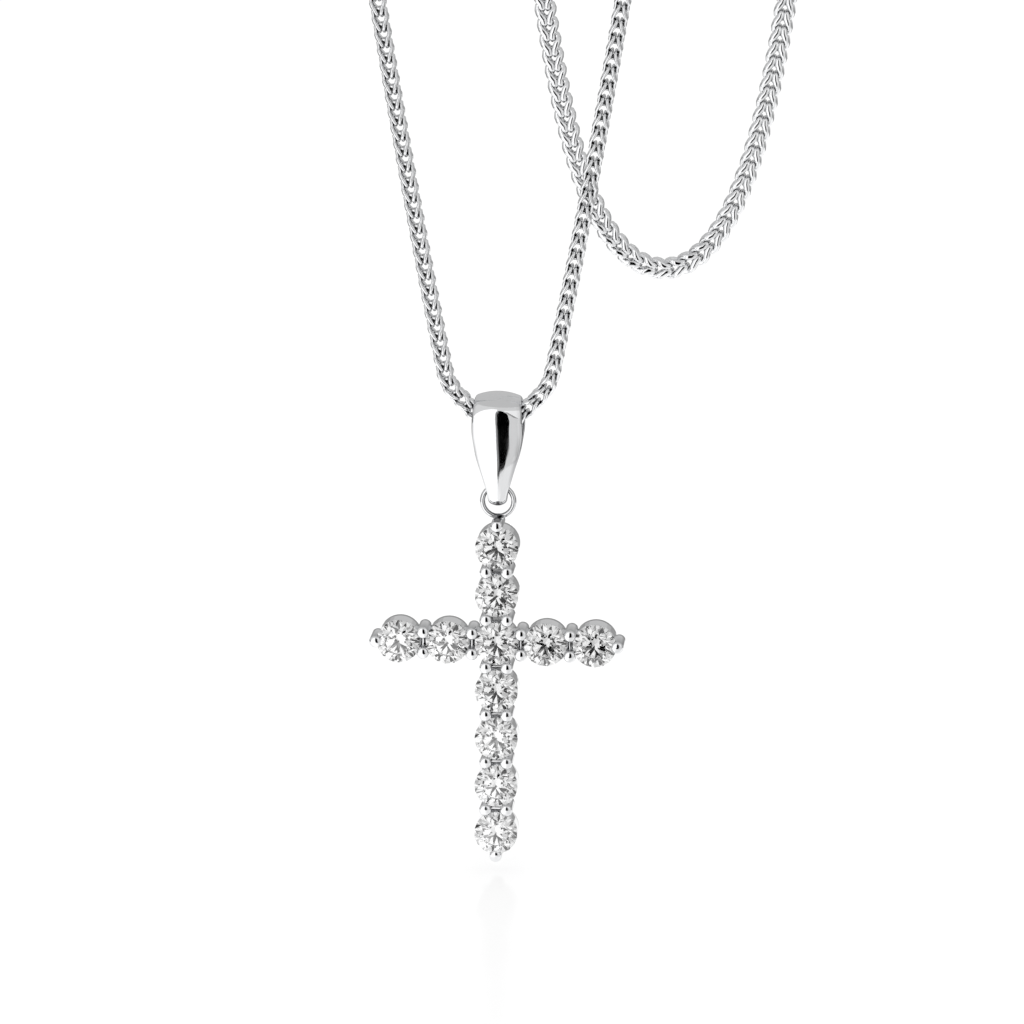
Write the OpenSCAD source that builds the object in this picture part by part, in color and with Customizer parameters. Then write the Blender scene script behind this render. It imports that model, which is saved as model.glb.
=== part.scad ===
// Cross pendant with eleven round stones on a tapered bail, hung on its chain.
// Millimetres, +Z up, +X to the right, -Y towards the front. The necklace is hung double
// over a bar along X, and the origin is the axis of that bar, straight above the pendant.

/* [Stones] */
// Diameter of each round stone
stone_d = 2.4; // [2.0:0.1:3.0]
// Gap between the girdles of two neighbours
stone_gap = 0.3; // [0.25:0.05:0.5]
// Width of the table, percent of the diameter
table_pct = 57; // [50:1:64]
// Height of the crown, percent of the diameter
crown_pct = 15; // [12:0.5:17]
// Depth of the pavilion, percent of the diameter
pavilion_pct = 43; // [40:0.5:45]
// Thickness of the girdle, percent of the diameter
girdle_pct = 3; // [2:0.5:5]

/* [Setting] */
// Diameter of a prong
prong_d = 0.68; // [0.56:0.02:0.8]
// Height of a prong's tip above the middle of the girdle
prong_rise = 0.38; // [0.3:0.02:0.5]
// How far a paired prong reaches over the girdle
prong_grip = 0.07; // [0.05:0.01:0.1]
// How far a single end prong reaches over the girdle
end_grip = 0.28; // [0.1:0.01:0.32]
// Depth of the setting behind the girdle
setting_depth = 1.45; // [1.4:0.05:2.2]
// How far the collet's wall stays inside the girdle
collet_inset = 0.03; // [0:0.01:0.06]
// Depth of the collet's rim behind the girdle
rim_drop = 0.2; // [0.15:0.01:0.3]
// Diameter of the open hole behind each stone
back_hole_d = 1.5; // [1.1:0.05:1.7]
// Width of the bridge between two collets, across the arm
bridge_w = 1.1; // [0.9:0.05:1.3]
// Depth of the bridge's front behind the girdle
bridge_drop = 0.45; // [0.35:0.05:0.6]
// Clearance between a stone and its seat
seat_gap = 0.03; // [0.02:0.01:0.05]

/* [Top ring] */
// Inner diameter of the ring that hangs in the bail
ring_inner_d = 1.44; // [1.4:0.02:1.8]
// Diameter of its wire
ring_wire = 0.28; // [0.24:0.02:0.34]
// From the top prong's axis up to the ring's lower wire
stem_h = 0.34; // [0.3:0.02:0.6]
// Width of the stem between prong and ring
stem_w = 0.66; // [0.5:0.02:0.8]
// Distance from the ring's plane forward to the girdle
girdle_forward = 0.85; // [0.6:0.05:1.1]

/* [Bail] */
// Overall height of the bail
bail_h = 6.4; // [5.8:0.1:8]
// Widest width of its front
bail_w = 2.86; // [2.3:0.02:3]
// Depth from front to back at its upper bend
bail_depth = 2.8; // [2.6:0.1:3.6]
// Thickness of its wall
bail_wall = 0.45; // [0.36:0.01:0.55]
// Thickness of its rounded lower end
tip_wall = 0.86; // [0.7:0.02:1]
// Clearance over the chain inside the bail
chain_play = 0.7; // [0.68:0.01:0.9]
// Play of the ring's wire inside the lower end
ring_play = 0.11; // [0.08:0.01:0.16]

/* [Chain] */
// Width of the chain
chain_w = 1.1; // [0.8:0.05:1.2]
// Diameter of the bar that the necklace hangs over
bar_d = 8; // [6:0.5:12]
// From the bar's axis down to the chain inside the bail
hang_drop = 104.5; // [80:0.5:140]
// Bend radius of the chain inside the bail
bail_bend_r = 1.85; // [1.5:0.05:2.2]
// Slope at which the chain leaves the bail, degrees
exit_slope = 45; // [40:1:50]
// Straight run of chain beside the bail
exit_run = 1.3; // [1:0.1:2]
// Bend radius of the chain above that run
shoulder_r = 2.6; // [2:0.1:4]
// How fast the front strands spread
leg_spread = 18; // [12:1:24]
// Height over which that spread eases off
leg_rise = 90; // [60:5:130]
// Height of the back loop's lowest point above the chain in the bail
back_lift = 6.8; // [4:0.2:30]
// Distance of the back loop's middle to the right
back_shift = 8.3; // [0:0.1:14]
// Sag parameter of the back loop, its radius at the lowest point
back_sag = 2.54; // [2:0.02:4]

/* [Clasp] */
// Length of the clasp from chain end to chain end
clasp_l = 13; // [12:0.5:18]
// Width of the clasp's body
clasp_w = 4.2; // [3.6:0.1:5]
// Thickness of the clasp's body
clasp_t = 1.6; // [1.2:0.1:1.8]
// Height of the clasp's middle above the back loop's lowest point
clasp_h = 46; // [30:1:60]

/* [Hidden] */
STONES = [for (i = [1:11]) str("stone_", i < 10 ? "0" : "", i)];
$fn = 48;

// Places of the stones on the cross, in steps from the middle stone, to the right and up
places = [[-2, 0], [-1, 0], [0, 0], [1, 0], [2, 0], [0, 2], [0, 1], [0, -1], [0, -2], [0, -3], [0, -4]];
// Outer ends of the four arms, in steps, and the way each points
arm_ends = [[-2, 0], [2, 0], [0, 2], [0, -4]];
// Middles of the gaps between neighbours, in steps
joints_across = [for (k = [-1.5:1:1.5]) k];
joints_along = [for (k = [-3.5:1:1.5]) k];

// Stone
stone_r = stone_d / 2;
pitch = stone_d + stone_gap;
table_r = stone_r * table_pct / 100;
crown_h = stone_d * crown_pct / 100;
pavilion_h = stone_d * pavilion_pct / 100;
girdle_h = stone_d * girdle_pct / 100;
// Share of the crown's facets that the star facets take
star_share = 0.5;
// Outer tips of the star facets, which lie in the planes of the kite facets between them
star_r = table_r * cos(22.5) + star_share * (stone_r - table_r * cos(22.5));
star_z = crown_h * (stone_r - star_r * cos(22.5)) / (stone_r - table_r);
// Distance of the lower facets' inner tips from the axis, as a share of the radius
lower_tip_share = 0.23;
// Each stone is turned a little further than the one before
stone_turn = 17;

// Setting
prong_r = prong_d / 2;
prong_reach = stone_r + prong_r - prong_grip;
prong_across = sqrt(prong_reach * prong_reach - pitch * pitch / 4);
end_reach = stone_r + prong_r - end_grip;
collet_r = stone_r - collet_inset;
// Share of a prong's radius over which its tip is domed, and the flat left at the top
dome_share = 0.75;

// Bail, measured from the chain's axis at its lowest point inside the bail
bail_top = chain_w / 2 + chain_play + bail_wall;
bail_foot = bail_top - bail_h;
bend_r = bail_depth / 2 - bail_wall;
bend_z = bail_top - bail_depth / 2;
tip_r = ring_wire / 2 + ring_play;
tip_z = bail_foot + tip_wall + tip_r;
// Slope of the bail's straight walls, from the tangent to its upper bend and lower end
wall_slope = asin((bend_r - tip_r) / (bend_z - tip_z));
inner_reach = bend_r - bend_z * sin(wall_slope);
foot_r = (inner_reach + bail_wall + bail_foot * sin(wall_slope)) / (1 - sin(wall_slope));
foot_z = bail_foot + foot_r;
// Widths of the bail from top to foot at even steps, as shares of its widest width
width_shares = [0.9, 0.955, 1, 0.985, 0.892, 0.78, 0.637, 0.527, 0.41];

// Cross
ring_mid_r = (ring_inner_d + ring_wire) / 2;
ring_top_z = tip_z;
ring_z = ring_top_z - ring_mid_r;
top_prong_z = ring_z - ring_mid_r - stem_h;
cross_z = top_prong_z - end_reach - 2 * pitch;

// Necklace
strand_y = (bar_d + chain_w) / 2;
leg_slope = atan(leg_spread / leg_rise);
bend_end = [bail_bend_r * sin(exit_slope), bail_bend_r * (1 - cos(exit_slope))];
run_end = bend_end + exit_run * [cos(exit_slope), sin(exit_slope)];
shoulder_end = run_end + shoulder_r * [cos(leg_slope) - sin(exit_slope), cos(exit_slope) - sin(leg_slope)];
back_h = hang_drop - back_lift;
back_turns = acosh(1 + back_h / back_sag);

// Places shared by the parts
in_bail = [0, -strand_y, -hang_drop];
on_girdle = in_bail + [0, -girdle_forward, cross_z];

function acosh(x) = ln(x + sqrt(x * x - 1));
function cosh(x) = (exp(x) + exp(-x)) / 2;
function turned(r, a, z) = [r * cos(a), r * sin(a), z];

// Smooth curve through a list of shares at even steps, u from 0 to 1
function share(list, u) =
    let (
        last = len(list) - 1,
        i = min(floor(u * last), last - 1),
        t = u * last - i,
        a = list[max(i - 1, 0)],
        b = list[i],
        c = list[i + 1],
        d = list[min(i + 2, last)]
    )
    b + t * (c - a) / 2 + t * t * (a - 2.5 * b + 2 * c - d / 2) + t * t * t * (1.5 * (b - c) + (d - a) / 2);

// Round brilliant, its axis along Z and the middle of its girdle at the origin
module brilliant() {
    low_r = stone_r * lower_tip_share;
    low_z = pavilion_h * (1 - low_r * cos(22.5) / stone_r);
    points = concat(
        [for (k = [0:7]) turned(table_r, 45 * k, girdle_h / 2 + crown_h)],
        [for (k = [0:7]) turned(star_r, 45 * k + 22.5, girdle_h / 2 + star_z)],
        [for (k = [0:15]) turned(stone_r, 22.5 * k, girdle_h / 2)],
        [for (k = [0:15]) turned(stone_r, 22.5 * k, -girdle_h / 2)],
        [for (k = [0:7]) turned(low_r, 45 * k + 22.5, -girdle_h / 2 - low_z)],
        [[0, 0, -girdle_h / 2 - pavilion_h]]
    );
    star = 8;
    upper = 16;
    lower = 32;
    tip = 48;
    culet = 56;
    faces = concat(
        [[for (k = [7:-1:0]) k]],
        [for (k = [0:7]) [k, (k + 1) % 8, star + k]],
        [for (k = [0:7]) [k, star + k, upper + 2 * k, star + (k + 7) % 8]],
        [for (k = [0:7]) [star + k, upper + 2 * k + 1, upper + 2 * k]],
        [for (k = [0:7]) [star + k, upper + (2 * k + 2) % 16, upper + 2 * k + 1]],
        [for (k = [0:15]) [upper + k, upper + (k + 1) % 16, lower + (k + 1) % 16, lower + k]],
        [for (k = [0:7]) [tip + k, lower + 2 * k, lower + 2 * k + 1]],
        [for (k = [0:7]) [tip + k, lower + 2 * k + 1, lower + (2 * k + 2) % 16]],
        [for (k = [0:7]) [culet, tip + (k + 7) % 8, lower + 2 * k, tip + k]]
    );
    polyhedron(points, faces);
}

// Room that one stone takes out of the metal, with the open hole behind it
module seat() {
    hole_r = back_hole_d / 2;
    hole_z = -girdle_h / 2 - pavilion_h * (1 - hole_r / stone_r) - 2 * seat_gap;
    rotate_extrude()
        polygon([
            [0, -setting_depth - prong_d],
            [hole_r, -setting_depth - prong_d],
            [hole_r, hole_z],
            [stone_r + seat_gap, -girdle_h / 2 - seat_gap],
            [stone_r + seat_gap, girdle_h / 2 + seat_gap],
            [star_r + seat_gap, girdle_h / 2 + star_z + seat_gap],
            [table_r + seat_gap, girdle_h / 2 + crown_h + seat_gap],
            [0, girdle_h / 2 + crown_h + seat_gap]
        ]);
}

// Post with a domed tip, from the back of the setting to above the girdle
module prong() {
    dome_h = prong_r * dome_share;
    rotate_extrude()
        polygon(concat(
            [[0, -setting_depth], [prong_r, -setting_depth]],
            [for (a = [0:15:90]) [prong_r * cos(a), prong_rise - dome_h * (1 - sin(a))]]
        ));
}

module collet() {
    translate([0, 0, -setting_depth])
        cylinder(r = collet_r, h = setting_depth - rim_drop);
}

// Bar of metal between two collets, long side along X
module bridge() {
    length = pitch - 2 * collet_r + prong_d;
    depth = setting_depth - bridge_drop;
    translate([-length / 2, -bridge_w / 2, -setting_depth])
        cube([length, bridge_w, depth]);
}

// Wire ring in the plane of the chain, its axis along Y, and the stem that carries the cross
module top_ring() {
    translate([0, 0, ring_z])
        rotate([90, 0, 0])
            rotate_extrude()
                translate([ring_mid_r, 0])
                    circle(d = ring_wire);
}

module stem() {
    top = ring_z - ring_inner_d / 2 - ring_wire / 4;
    translate([-stem_w / 2, -stem_w / 2, top_prong_z])
        cube([stem_w, stem_w, top - top_prong_z]);
}

// Lays the cross, drawn face up with its long arm along Y, on the front of the pendant
module on_front() {
    translate(on_girdle)
        rotate([90, 0, 0])
            children();
}

module cross_setting() {
    color("silver") {
        difference() {
            on_front() {
                for (p = places)
                    translate(pitch * p)
                        collet();
                for (k = joints_across) {
                    translate([pitch * k, 0, 0])
                        bridge();
                    for (side = [-1, 1])
                        translate([pitch * k, side * prong_across, 0])
                            prong();
                }
                for (k = joints_along) {
                    translate([0, pitch * k, 0])
                        rotate(90)
                            bridge();
                    for (side = [-1, 1])
                        translate([side * prong_across, pitch * k, 0])
                            prong();
                }
                for (e = arm_ends)
                    translate(pitch * e + end_reach * e / norm(e))
                        prong();
            }
            on_front()
                for (p = places)
                    translate(pitch * p)
                        seat();
        }
        translate(in_bail) {
            top_ring();
            stem();
        }
    }
}

module stone(i) {
    color("aliceblue")
        on_front()
            translate(pitch * places[i])
                rotate(stone_turn * i)
                    brilliant();
}

// The bail is one band swept round a drop-shaped loop in the YZ plane. A station of the loop
// is [angle of its outward normal, share of the way down the straight wall, upper bend or not].
bend_steps = 14;
wall_steps = 8;
foot_steps = 12;
loop = concat(
    [for (k = [0:bend_steps]) [-wall_slope + k * (180 + 2 * wall_slope) / bend_steps, 0]],
    [for (k = [1:wall_steps - 1]) [180 + wall_slope, k / wall_steps]],
    [for (k = [0:foot_steps]) [180 + wall_slope + k * (180 - 2 * wall_slope) / foot_steps, 1]],
    [for (k = [1:wall_steps - 1]) [360 - wall_slope, 1 - k / wall_steps]]
);
section_steps = 20;
// Roundness of the band's section: 2 is an ellipse, and more is flatter with tighter corners
outer_round = 2.6;
inner_round = 3.4;
foot_round = 2;
// Share by which the inner face is narrower than the outer one at the foot
foot_taper = 0.42;
// Share of the wall that lies in the crowned outer half of the section
crown_part = 0.6;

function power(x, e) = sign(x) * pow(abs(x), e);
function on_loop(s, r1, z1, r2, z2) =
    let (r = r1 + (r2 - r1) * s[1], z = z1 + (z2 - z1) * s[1])
    [r * cos(s[0]), z + r * sin(s[0])];
function eased(u) = u * u * (3 - 2 * u);

// One section of the band, as points [x, y, z] round it
function band_section(s) =
    let (
        outer = on_loop(s, bend_r + bail_wall, bend_z, foot_r, foot_z),
        inner = on_loop(s, bend_r, bend_z, tip_r, tip_z),
        way = outer - inner,
        down = (bail_top - outer[1]) / bail_h,
        half_w = bail_w / 2 * share(width_shares, down),
        foot = eased(max(0, (down - 0.55) / 0.45)),
        outer_e = 2 / (outer_round + foot * (foot_round - outer_round)),
        inner_e = 2 / (inner_round + foot * (foot_round - inner_round))
    )
    [for (k = [0:section_steps - 1])
        let (
            a = 360 * k / section_steps,
            e = a < 180 ? outer_e : inner_e,
            depth = power(sin(a), e),
            narrow = 1 - foot * foot_taper * (1 - depth) / 2,
            split = 1 - crown_part,
            n = split + (a < 180 ? crown_part : split) * depth,
            p = inner + way * n
        )
        [half_w * narrow * power(cos(a), e), p[0], p[1]]];

// Closed or open tube through a list of rings with the same number of points
module tube(rings, closed) {
    sides = len(rings[0]);
    count = len(rings);
    spans = closed ? count : count - 1;
    skin = [for (i = [0:spans - 1], k = [0:sides - 1])
        let (
            a = i * sides + k,
            b = i * sides + (k + 1) % sides,
            c = ((i + 1) % count) * sides + (k + 1) % sides,
            d = ((i + 1) % count) * sides + k
        )
        each [[a, c, b], [a, d, c]]];
    caps = closed ? [] : [
        [for (k = [0:sides - 1]) k],
        [for (k = [sides - 1:-1:0]) (count - 1) * sides + k]
    ];
    polyhedron([for (r = rings) each r], concat(skin, caps));
}

module bail() {
    color("silver")
        translate(in_bail)
            tube([for (s = loop) band_section(s)], true);
}

// Route of the chain. A point of it is [place, way the chain's outer side faces].
front_side = [0, -1, 0];
back_side = [0, 1, 0];
leg_steps = 8;
arc_steps = 3;
cross_steps = 8;
back_steps = 15;
// Step of the back loop's left strand, counted from its lowest point, where the lower chain ends
clasp_turns_low = acosh(1 + (clasp_h - clasp_l / 2) / back_sag);
clasp_turns_high = acosh(1 + (clasp_h + clasp_l / 2) / back_sag);

function leg_x(h) = shoulder_end[0] + leg_spread * ln(1 + (h - shoulder_end[1]) / leg_rise);
function back_x(turns) = back_shift + back_sag * turns;
function back_z(turns) = -hang_drop + back_lift + back_sag * (cosh(turns) - 1);
function front_point(x, h) = [[x, -strand_y, -hang_drop + h], front_side];
function back_point(turns) = [[back_x(turns), strand_y, back_z(turns)], back_side];

// Right half of the front loop, from just past the lowest point up to the bar
front_half = concat(
    [for (k = [1:arc_steps])
        let (a = k * exit_slope / arc_steps)
        [bail_bend_r * sin(a), bail_bend_r * (1 - cos(a))]],
    [for (k = [0:arc_steps])
        let (a = exit_slope + k * (90 - leg_slope - exit_slope) / arc_steps)
        run_end + shoulder_r * [sin(a) - sin(exit_slope), cos(exit_slope) - cos(a)]],
    [for (k = [1:leg_steps])
        let (h = shoulder_end[1] + (hang_drop - shoulder_end[1]) * pow(k / leg_steps, 1.3))
        [leg_x(h), h]]
);

// Over the bar, from the front strand to the back strand of one side
bar_slope = leg_spread / (leg_rise + hang_drop - shoulder_end[1]);
back_slope = back_sag / sqrt(back_h * (back_h + 2 * back_sag));
function over_bar(side, u) =
    let (
        x0 = side * leg_x(hang_drop),
        x1 = back_x(side * back_turns),
        arc = PI * strand_y,
        m0 = side * bar_slope * arc,
        m1 = -side * back_slope * arc,
        x = x0 + eased(u) * (x1 - x0) + u * (1 - u) * ((1 - u) * m0 - u * m1),
        a = 180 * u
    )
    [[x, -strand_y * cos(a), strand_y * sin(a)], [0, -cos(a), sin(a)]];

// The whole closed route, from above the clasp round to below it, then the clasp's middle
upper_back = [for (k = [0:4])
    let (t = clasp_turns_high + (back_turns - clasp_turns_high) * k / 5)
    back_point(-t)];
left_over = [for (k = [0:cross_steps]) over_bar(-1, 1 - k / cross_steps)];
left_leg = [for (k = [len(front_half) - 2:-1:0]) front_point(-front_half[k][0], front_half[k][1])];
right_leg = [for (k = [0:len(front_half) - 2]) front_point(front_half[k][0], front_half[k][1])];
right_over = [for (k = [0:cross_steps]) over_bar(1, k / cross_steps)];
back_loop = [for (k = [1:back_steps * 2])
    let (
        t = back_turns * (1 - k / back_steps),
        past = -clasp_turns_low
    )
    if (t > past + back_turns / back_steps / 2) back_point(t)];
route = concat(
    upper_back, left_over, left_leg, [front_point(0, 0)], right_leg, right_over, back_loop,
    [back_point(-clasp_turns_low), back_point(-(clasp_turns_low + clasp_turns_high) / 2)]
);
front_end = len(upper_back) + len(left_over) + 2 * len(left_leg) + 1 + cross_steps / 2;
route_end = len(route) - 2;

function unit(v) = v / norm(v);
function route_ring(i) =
    let (
        before = route[(i + len(route) - 1) % len(route)][0],
        after = route[(i + 1) % len(route)][0],
        way = unit(after - before),
        across = unit(cross(way, route[i][1])),
        out = cross(across, way)
    )
    [for (k = [0:7]) route[i][0] + chain_w / 2 * (cos(45 * k) * out + sin(45 * k) * across)];

module chain_front() {
    color("lightgray")
        tube([for (i = [0:front_end]) route_ring(i)], false);
}

module chain_back() {
    color("lightgray")
        tube([for (i = [front_end:route_end]) route_ring(i)], false);
}

// Plain clasp: a pierced drop-shaped body with a small ring at each end, between two end caps
cap_d = chain_w + 0.4;
cap_l = 1.6;
eye_d = 2.6;
eye_wire = 0.5;
module eye() {
    rotate([90, 0, 0])
        rotate_extrude()
            translate([(eye_d - eye_wire) / 2, 0])
                circle(d = eye_wire);
}

module clasp() {
    low = route[route_end][0];
    high = route[0][0];
    length = norm(high - low);
    // The eyes overlap their neighbours by a share of their own wire
    lap = eye_wire * 0.6;
    body_l = length - 2 * (cap_l + eye_d - 2 * lap);
    wide_r = clasp_w / 2;
    narrow_r = clasp_w / 4;
    hole_share = 0.5;
    color("silver")
        translate((low + high) / 2)
            rotate([0, atan((high[0] - low[0]) / (high[2] - low[2])), 0]) {
                for (end = [-1, 1]) {
                    translate([0, 0, end * (length - cap_l) / 2])
                        cylinder(d = cap_d, h = cap_l, center = true);
                    translate([0, 0, end * (length / 2 - cap_l + lap - eye_d / 2)])
                        eye();
                }
                rotate([90, 0, 0])
                    difference() {
                        linear_extrude(clasp_t, center = true)
                            hull() {
                                translate([0, wide_r - body_l / 2])
                                    circle(r = wide_r);
                                translate([0, body_l / 2 - narrow_r])
                                    circle(r = narrow_r);
                            }
                        linear_extrude(2 * clasp_t, center = true)
                            hull() {
                                translate([0, wide_r - body_l / 2])
                                    circle(r = wide_r * hole_share);
                                translate([0, body_l / 2 - narrow_r * 2])
                                    circle(r = narrow_r * hole_share);
                            }
                    }
            }
}

chain_front();
chain_back();
clasp();
bail();
cross_setting();
for (i = [0:len(STONES) - 1])
    stone(i);
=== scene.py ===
"""Looks of the cross pendant: chain, bail, setting, brilliants and clasp in a pale studio.

Shapes are worked out in millimetres in the row frame, from the same sizes as the part's source, and
become metres when a mesh is made. The necklace hangs double over a bar along X at the origin.
"""

import logging
import math
from dataclasses import dataclass, field
from enum import Enum
from typing import Any, Iterable, Optional, Sequence, Union

import bpy
import numpy as np
from mathutils import Matrix, Vector
from mathutils.bvhtree import BVHTree


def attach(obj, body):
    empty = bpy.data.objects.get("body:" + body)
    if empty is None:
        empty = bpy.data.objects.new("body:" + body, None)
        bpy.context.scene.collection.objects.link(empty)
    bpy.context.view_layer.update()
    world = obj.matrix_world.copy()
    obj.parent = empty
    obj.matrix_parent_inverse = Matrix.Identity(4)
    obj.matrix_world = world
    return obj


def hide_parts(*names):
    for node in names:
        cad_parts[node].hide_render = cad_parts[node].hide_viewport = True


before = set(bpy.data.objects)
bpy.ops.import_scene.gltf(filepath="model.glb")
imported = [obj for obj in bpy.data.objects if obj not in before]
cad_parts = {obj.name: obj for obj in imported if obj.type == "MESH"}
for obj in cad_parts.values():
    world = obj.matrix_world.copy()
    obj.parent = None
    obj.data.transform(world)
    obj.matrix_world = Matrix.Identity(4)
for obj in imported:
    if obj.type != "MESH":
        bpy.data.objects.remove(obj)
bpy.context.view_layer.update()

LOG = logging.getLogger("cross_pendant")
MM = 0.001
# Edges that turn by more than this stay crisp, where a piece doesn't say otherwise
SHARP_DEG = 40.0

# Places shared by the pieces, in millimetres
STRAND_Y = 4.55
HANG_DROP = 104.5
IN_BAIL = np.array([0.0, -STRAND_Y, -HANG_DROP])
FOOT_Z = -129.21


class Body(Enum):
    """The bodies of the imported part."""

    CHAIN = "chain"
    BAIL = "bail"
    CROSS = "cross"


class Slot(Enum):
    """The record's material slots."""

    CHAIN = "chain_metal"
    CLASP = "clasp_metal"
    BAIL = "bail_metal"
    SETTING = "setting_metal"
    DIAMOND = "diamond"


class Join(Enum):
    """How one closed form changes another."""

    ADD = "UNION"
    CUT = "DIFFERENCE"


# Shader expressions


class Value:
    """A value socket that takes part in Python expressions."""

    def __init__(self, kit: "NodeKit", socket: bpy.types.NodeSocket) -> None:
        self.kit = kit
        self.socket = socket

    def __add__(self, other: "Term") -> "Value":
        """Return self + other."""
        return self.kit.math("ADD", self, other)

    def __radd__(self, other: "Term") -> "Value":
        """Return other + self."""
        return self.kit.math("ADD", other, self)

    def __sub__(self, other: "Term") -> "Value":
        """Return self - other."""
        return self.kit.math("SUBTRACT", self, other)

    def __rsub__(self, other: "Term") -> "Value":
        """Return other - self."""
        return self.kit.math("SUBTRACT", other, self)

    def __mul__(self, other: "Term") -> "Value":
        """Return self * other."""
        return self.kit.math("MULTIPLY", self, other)

    def __rmul__(self, other: "Term") -> "Value":
        """Return other * self."""
        return self.kit.math("MULTIPLY", other, self)


Term = Union[Value, float]


class NodeKit:
    """Makes the nodes of one material or of the world."""

    def __init__(self, tree: bpy.types.NodeTree) -> None:
        """Start with an empty tree."""
        self.tree = tree
        tree.nodes.clear()

    def node(
        self,
        kind: str,
        settings: Optional[dict[str, Any]] = None,
        inputs: Optional[dict[Union[int, str], Any]] = None,
    ) -> bpy.types.Node:
        """Make one node.

        Args:
            kind: The node's type.
            settings: Its settings, set first; "stops" are a ramp's (place, grey) pairs.
            inputs: What its sockets get, by name or number: a Value, a socket or a constant.

        Returns:
            The new node.
        """
        made = self.tree.nodes.new(kind)
        for name, setting in (settings or {}).items():
            if name == "stops":
                self.set_stops(made.color_ramp, setting)
            else:
                setattr(made, name, setting)
        for key, given in (inputs or {}).items():
            source = given.socket if isinstance(given, Value) else given
            if isinstance(source, bpy.types.NodeSocket):
                self.tree.links.new(source, made.inputs[key])
            else:
                made.inputs[key].default_value = source
        return made

    def set_stops(self, ramp: bpy.types.ColorRamp, stops: Sequence[tuple[float, float]]) -> None:
        """Give a colour ramp its grey stops."""
        while len(ramp.elements) < len(stops):
            ramp.elements.new(1.0)
        for element, (place, grey) in zip(ramp.elements, stops):
            element.position = place
            element.color = (grey, grey, grey, 1.0)

    def math(self, operation: str, first: Term, second: Term) -> Value:
        """Return the value of one Math node."""
        made = self.node("ShaderNodeMath", {"operation": operation}, {0: first, 1: second})
        return Value(self, made.outputs[0])

    def noise(self, stretch: Sequence[float], detail: float) -> Value:
        """Return noise over the surface.

        Args:
            stretch: Grains per metre along X, Y and Z.
            detail: Octaves of finer grain.

        Returns:
            The noise, from 0 to 1.
        """
        place = self.node("ShaderNodeTexCoord").outputs["Object"]
        scaled = self.node("ShaderNodeMapping", {}, {"Vector": place, "Scale": tuple(stretch)})
        made = self.node(
            "ShaderNodeTexNoise", {}, {"Vector": scaled.outputs[0], "Scale": 1.0, "Detail": detail}
        )
        return Value(self, made.outputs[0])

    def rising(self, value: Value, limits: tuple[float, float]) -> Value:
        """Return 0 where a value is below two limits, 1 above them and a ramp between.

        Args:
            value: The value.
            limits: The lower and the upper limit.

        Returns:
            The ramped value, from 0 to 1.
        """
        stops = list(zip(limits, (0.0, 1.0)))
        made = self.node("ShaderNodeValToRGB", {"stops": stops}, {0: value})
        return Value(self, made.outputs[0])

    def mix_colours(self, share: Term, first: Any, second: Any) -> bpy.types.NodeSocket:
        """Return a colour between two others, each a colour or a socket.

        Args:
            share: Share of the second colour.
            first: The first colour.
            second: The second one.

        Returns:
            The socket of the mixed colour.
        """
        ends = [c if isinstance(c, bpy.types.NodeSocket) else (*c, 1.0) for c in (first, second)]
        made = self.node("ShaderNodeMix", {"data_type": "RGBA"}, {0: share, 6: ends[0], 7: ends[1]})
        return made.outputs[2]


# Finishes

WHITE = (1.0, 1.0, 1.0, 1.0)


@dataclass(frozen=True)
class Finish:
    """What all finishes share: a name and a material with one surface."""

    name: str

    def surface(self, kit: NodeKit) -> bpy.types.Node:
        """Return the node that makes the surface.

        Args:
            kit: Makes the material's nodes.

        Returns:
            The node whose first output is the surface.
        """
        raise NotImplementedError

    def material(self) -> bpy.types.Material:
        """Return the finish as a material.

        Returns:
            A new material with one surface.
        """
        made = bpy.data.materials.new(self.name)
        made.use_nodes = True
        kit = NodeKit(made.node_tree)
        top = self.surface(kit).outputs[0]
        kit.node("ShaderNodeOutputMaterial", {}, {"Surface": top})
        return made


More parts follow.
